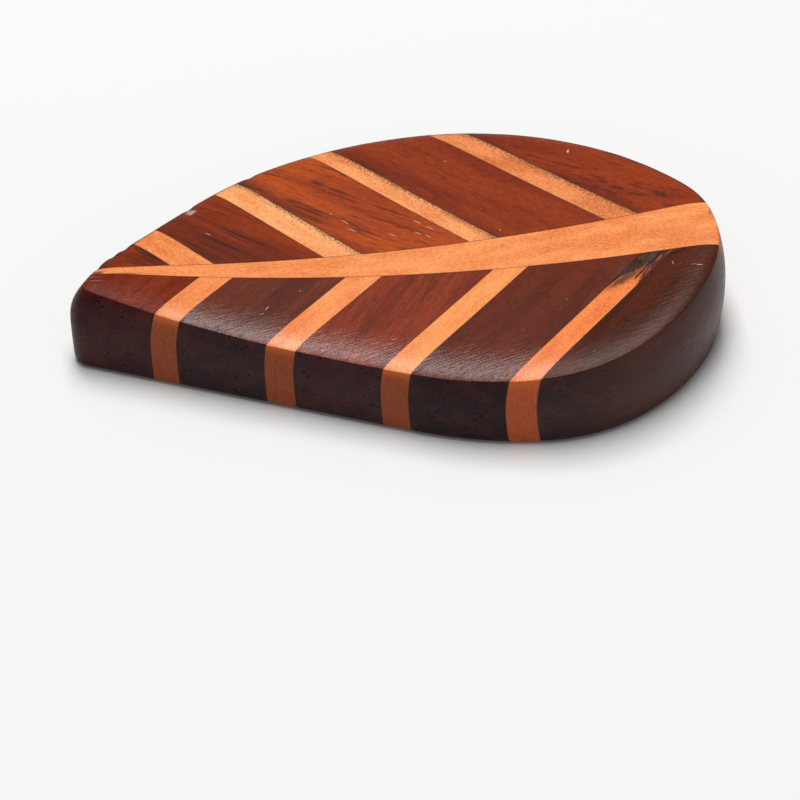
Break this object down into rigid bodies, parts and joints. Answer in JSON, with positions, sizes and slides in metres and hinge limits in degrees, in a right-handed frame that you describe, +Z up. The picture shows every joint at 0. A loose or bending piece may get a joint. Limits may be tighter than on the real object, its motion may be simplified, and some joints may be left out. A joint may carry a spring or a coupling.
{
  "type": "chopstick rest",
  "caption": "Leaf-shaped wooden chopstick rest, laminated from dark and light strips, with a shallow lengthwise dip that carries a pair of chopsticks.",
  "frame": {"origin": "middle of the overall box, on the flat underside that stands on the table", "axes": "+X from the nose of the leaf to its stalk end, +Y to the far half, +Z up from the table"},
  "size_m": [0.047, 0.026, 0.0088],
  "materials": {
    "lotus_wood": "oiled light wood with fine short flecks",
    "rosewood": "oiled rosewood with dark streaks and a soft sheen",
    "wood_filler": "dark glue and dust filler"
  },
  "bodies": {
    "root": {"midrib": "lotus_wood", "far_strip_1": "lotus_wood", "far_strip_2": "lotus_wood", "far_strip_3": "lotus_wood", "far_strip_4": "lotus_wood", "near_strip_1": "lotus_wood", "near_strip_2": "lotus_wood", "near_strip_3": "lotus_wood", "near_strip_4": "lotus_wood", "far_panel_1": "rosewood", "far_panel_2": "rosewood", "far_panel_3": "rosewood", "far_panel_4": "rosewood", "far_panel_5": "rosewood", "near_panel_1": "rosewood", "near_panel_2": "rosewood", "near_panel_3": "rosewood", "near_panel_4": "rosewood", "near_panel_5": "rosewood", "filler_plug": "wood_filler"}
  },
  "joints": []
}
